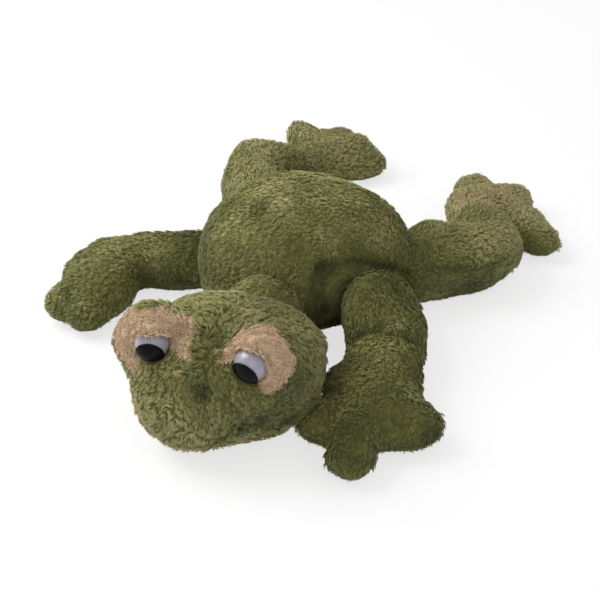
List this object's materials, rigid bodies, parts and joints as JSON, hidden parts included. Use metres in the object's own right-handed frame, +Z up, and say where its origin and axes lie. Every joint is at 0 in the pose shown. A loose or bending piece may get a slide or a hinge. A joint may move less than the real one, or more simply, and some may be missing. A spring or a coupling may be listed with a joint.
{
  "type": "plush frog",
  "caption": "Stuffed plush frog lying on its belly, with a wide head, raised eye mounds, domed eyes on locked shanks and bending arms, legs and feet",
  "frame": {"origin": "centre of the flat patch that the belly rests on", "axes": "+Z up, -Y the way the trunk faces, +X the frog's left side"},
  "size_m": [0.2765, 0.3534, 0.0818],
  "materials": {
    "green_plush": "matted short pile",
    "chin_plush": "matted short pile",
    "pale_plush": "matted short pile",
    "filling_fibre": "loose fibre",
    "eye_white": "gloss",
    "pupil_black": "gloss",
    "washer_plastic": "matte"
  },
  "bodies": {
    "torso": {"torso_back_cover": "green_plush", "torso_belly_cover": "green_plush", "torso_stuffing": "filling_fibre"},
    "neck": {"neck_cover": "green_plush", "neck_stuffing": "filling_fibre"},
    "head": {"head_top_cover": "green_plush", "head_chin_cover": "chin_plush", "head_stuffing": "filling_fibre", "left_eye_patch": "pale_plush", "left_eyeball": "eye_white", "left_pupil": "pupil_black", "left_eye_washer": "washer_plastic", "right_eye_patch": "pale_plush", "right_eyeball": "eye_white", "right_pupil": "pupil_black", "right_eye_washer": "washer_plastic"},
    "left_upper_arm": {"left_upper_arm_cover": "green_plush", "left_upper_arm_stuffing": "filling_fibre"},
    "left_hand": {"left_hand_cover": "green_plush", "left_hand_stuffing": "filling_fibre"},
    "left_thigh": {"left_thigh_cover": "green_plush", "left_thigh_stuffing": "filling_fibre"},
    "left_shin": {"left_shin_cover": "green_plush", "left_shin_stuffing": "filling_fibre"},
    "left_foot": {"left_foot_cover": "green_plush", "left_foot_stuffing": "filling_fibre"},
    "right_upper_arm": {"right_upper_arm_cover": "green_plush", "right_upper_arm_stuffing": "filling_fibre"},
    "right_hand": {"right_hand_cover": "green_plush", "right_hand_stuffing": "filling_fibre"},
    "right_thigh": {"right_thigh_cover": "green_plush", "right_thigh_stuffing": "filling_fibre"},
    "right_shin": {"right_shin_cover": "green_plush", "right_shin_stuffing": "filling_fibre"},
    "right_foot": {"right_foot_cover": "green_plush", "right_foot_stuffing": "filling_fibre"}
  },
  "joints": [
    {"name": "neck_turn", "type": "hinge", "parent": "torso", "child": "neck", "pos_m": [0.01765, -0.06364, 0.033], "axis": [0, 0, 1], "range_deg": [-30, 0]},
    {"name": "head_nod", "type": "hinge", "parent": "neck", "child": "head", "pos_m": [0.01765, -0.06364, 0.033], "axis": [-0.9636, -0.2672, 0], "range_deg": [0, 25]},
    {"name": "left_shoulder", "type": "hinge", "parent": "torso", "child": "left_upper_arm", "pos_m": [0.064, -0.006, 0.0192], "axis": [0, 0, 1], "range_deg": [0, 35]},
    {"name": "left_elbow", "type": "hinge", "parent": "left_upper_arm", "child": "left_hand", "pos_m": [0.08718, -0.04457, 0.0177], "axis": [0, 0, 1], "range_deg": [0, 30]},
    {"name": "left_hip", "type": "hinge", "parent": "torso", "child": "left_thigh", "pos_m": [0.055, 0.046, 0.0217], "axis": [0, 0, 1], "range_deg": [-30, 5]},
    {"name": "left_knee", "type": "hinge", "parent": "left_thigh", "child": "left_shin", "pos_m": [0.082, 0.09277, 0.0212], "axis": [0, 0, 1], "range_deg": [-35, 6]},
    {"name": "left_ankle", "type": "hinge", "parent": "left_shin", "child": "left_foot", "pos_m": [0.05243, 0.128, 0.0152], "axis": [0.9848, -0.1736, 0], "range_deg": [0, 25]},
    {"name": "right_shoulder", "type": "hinge", "parent": "torso", "child": "right_upper_arm", "pos_m": [-0.064, -0.018, 0.0192], "axis": [0, 0, -1], "range_deg": [-6, 30]},
    {"name": "right_elbow", "type": "hinge", "parent": "right_upper_arm", "child": "right_hand", "pos_m": [-0.09946, -0.04571, 0.0177], "axis": [0, 0, -1], "range_deg": [-6, 35]},
    {"name": "right_hip", "type": "hinge", "parent": "torso", "child": "right_thigh", "pos_m": [-0.055, 0.046, 0.0217], "axis": [0, 0, -1], "range_deg": [-30, 10]},
    {"name": "right_knee", "type": "hinge", "parent": "right_thigh", "child": "right_shin", "pos_m": [-0.09637, 0.08071, 0.0212], "axis": [0, 0, -1], "range_deg": [-30, 6]},
    {"name": "right_ankle", "type": "hinge", "parent": "right_shin", "child": "right_foot", "pos_m": [-0.08446, 0.12514, 0.0152], "axis": [0.9994, -0.0349, 0], "range_deg": [0, 25]}
  ]
}
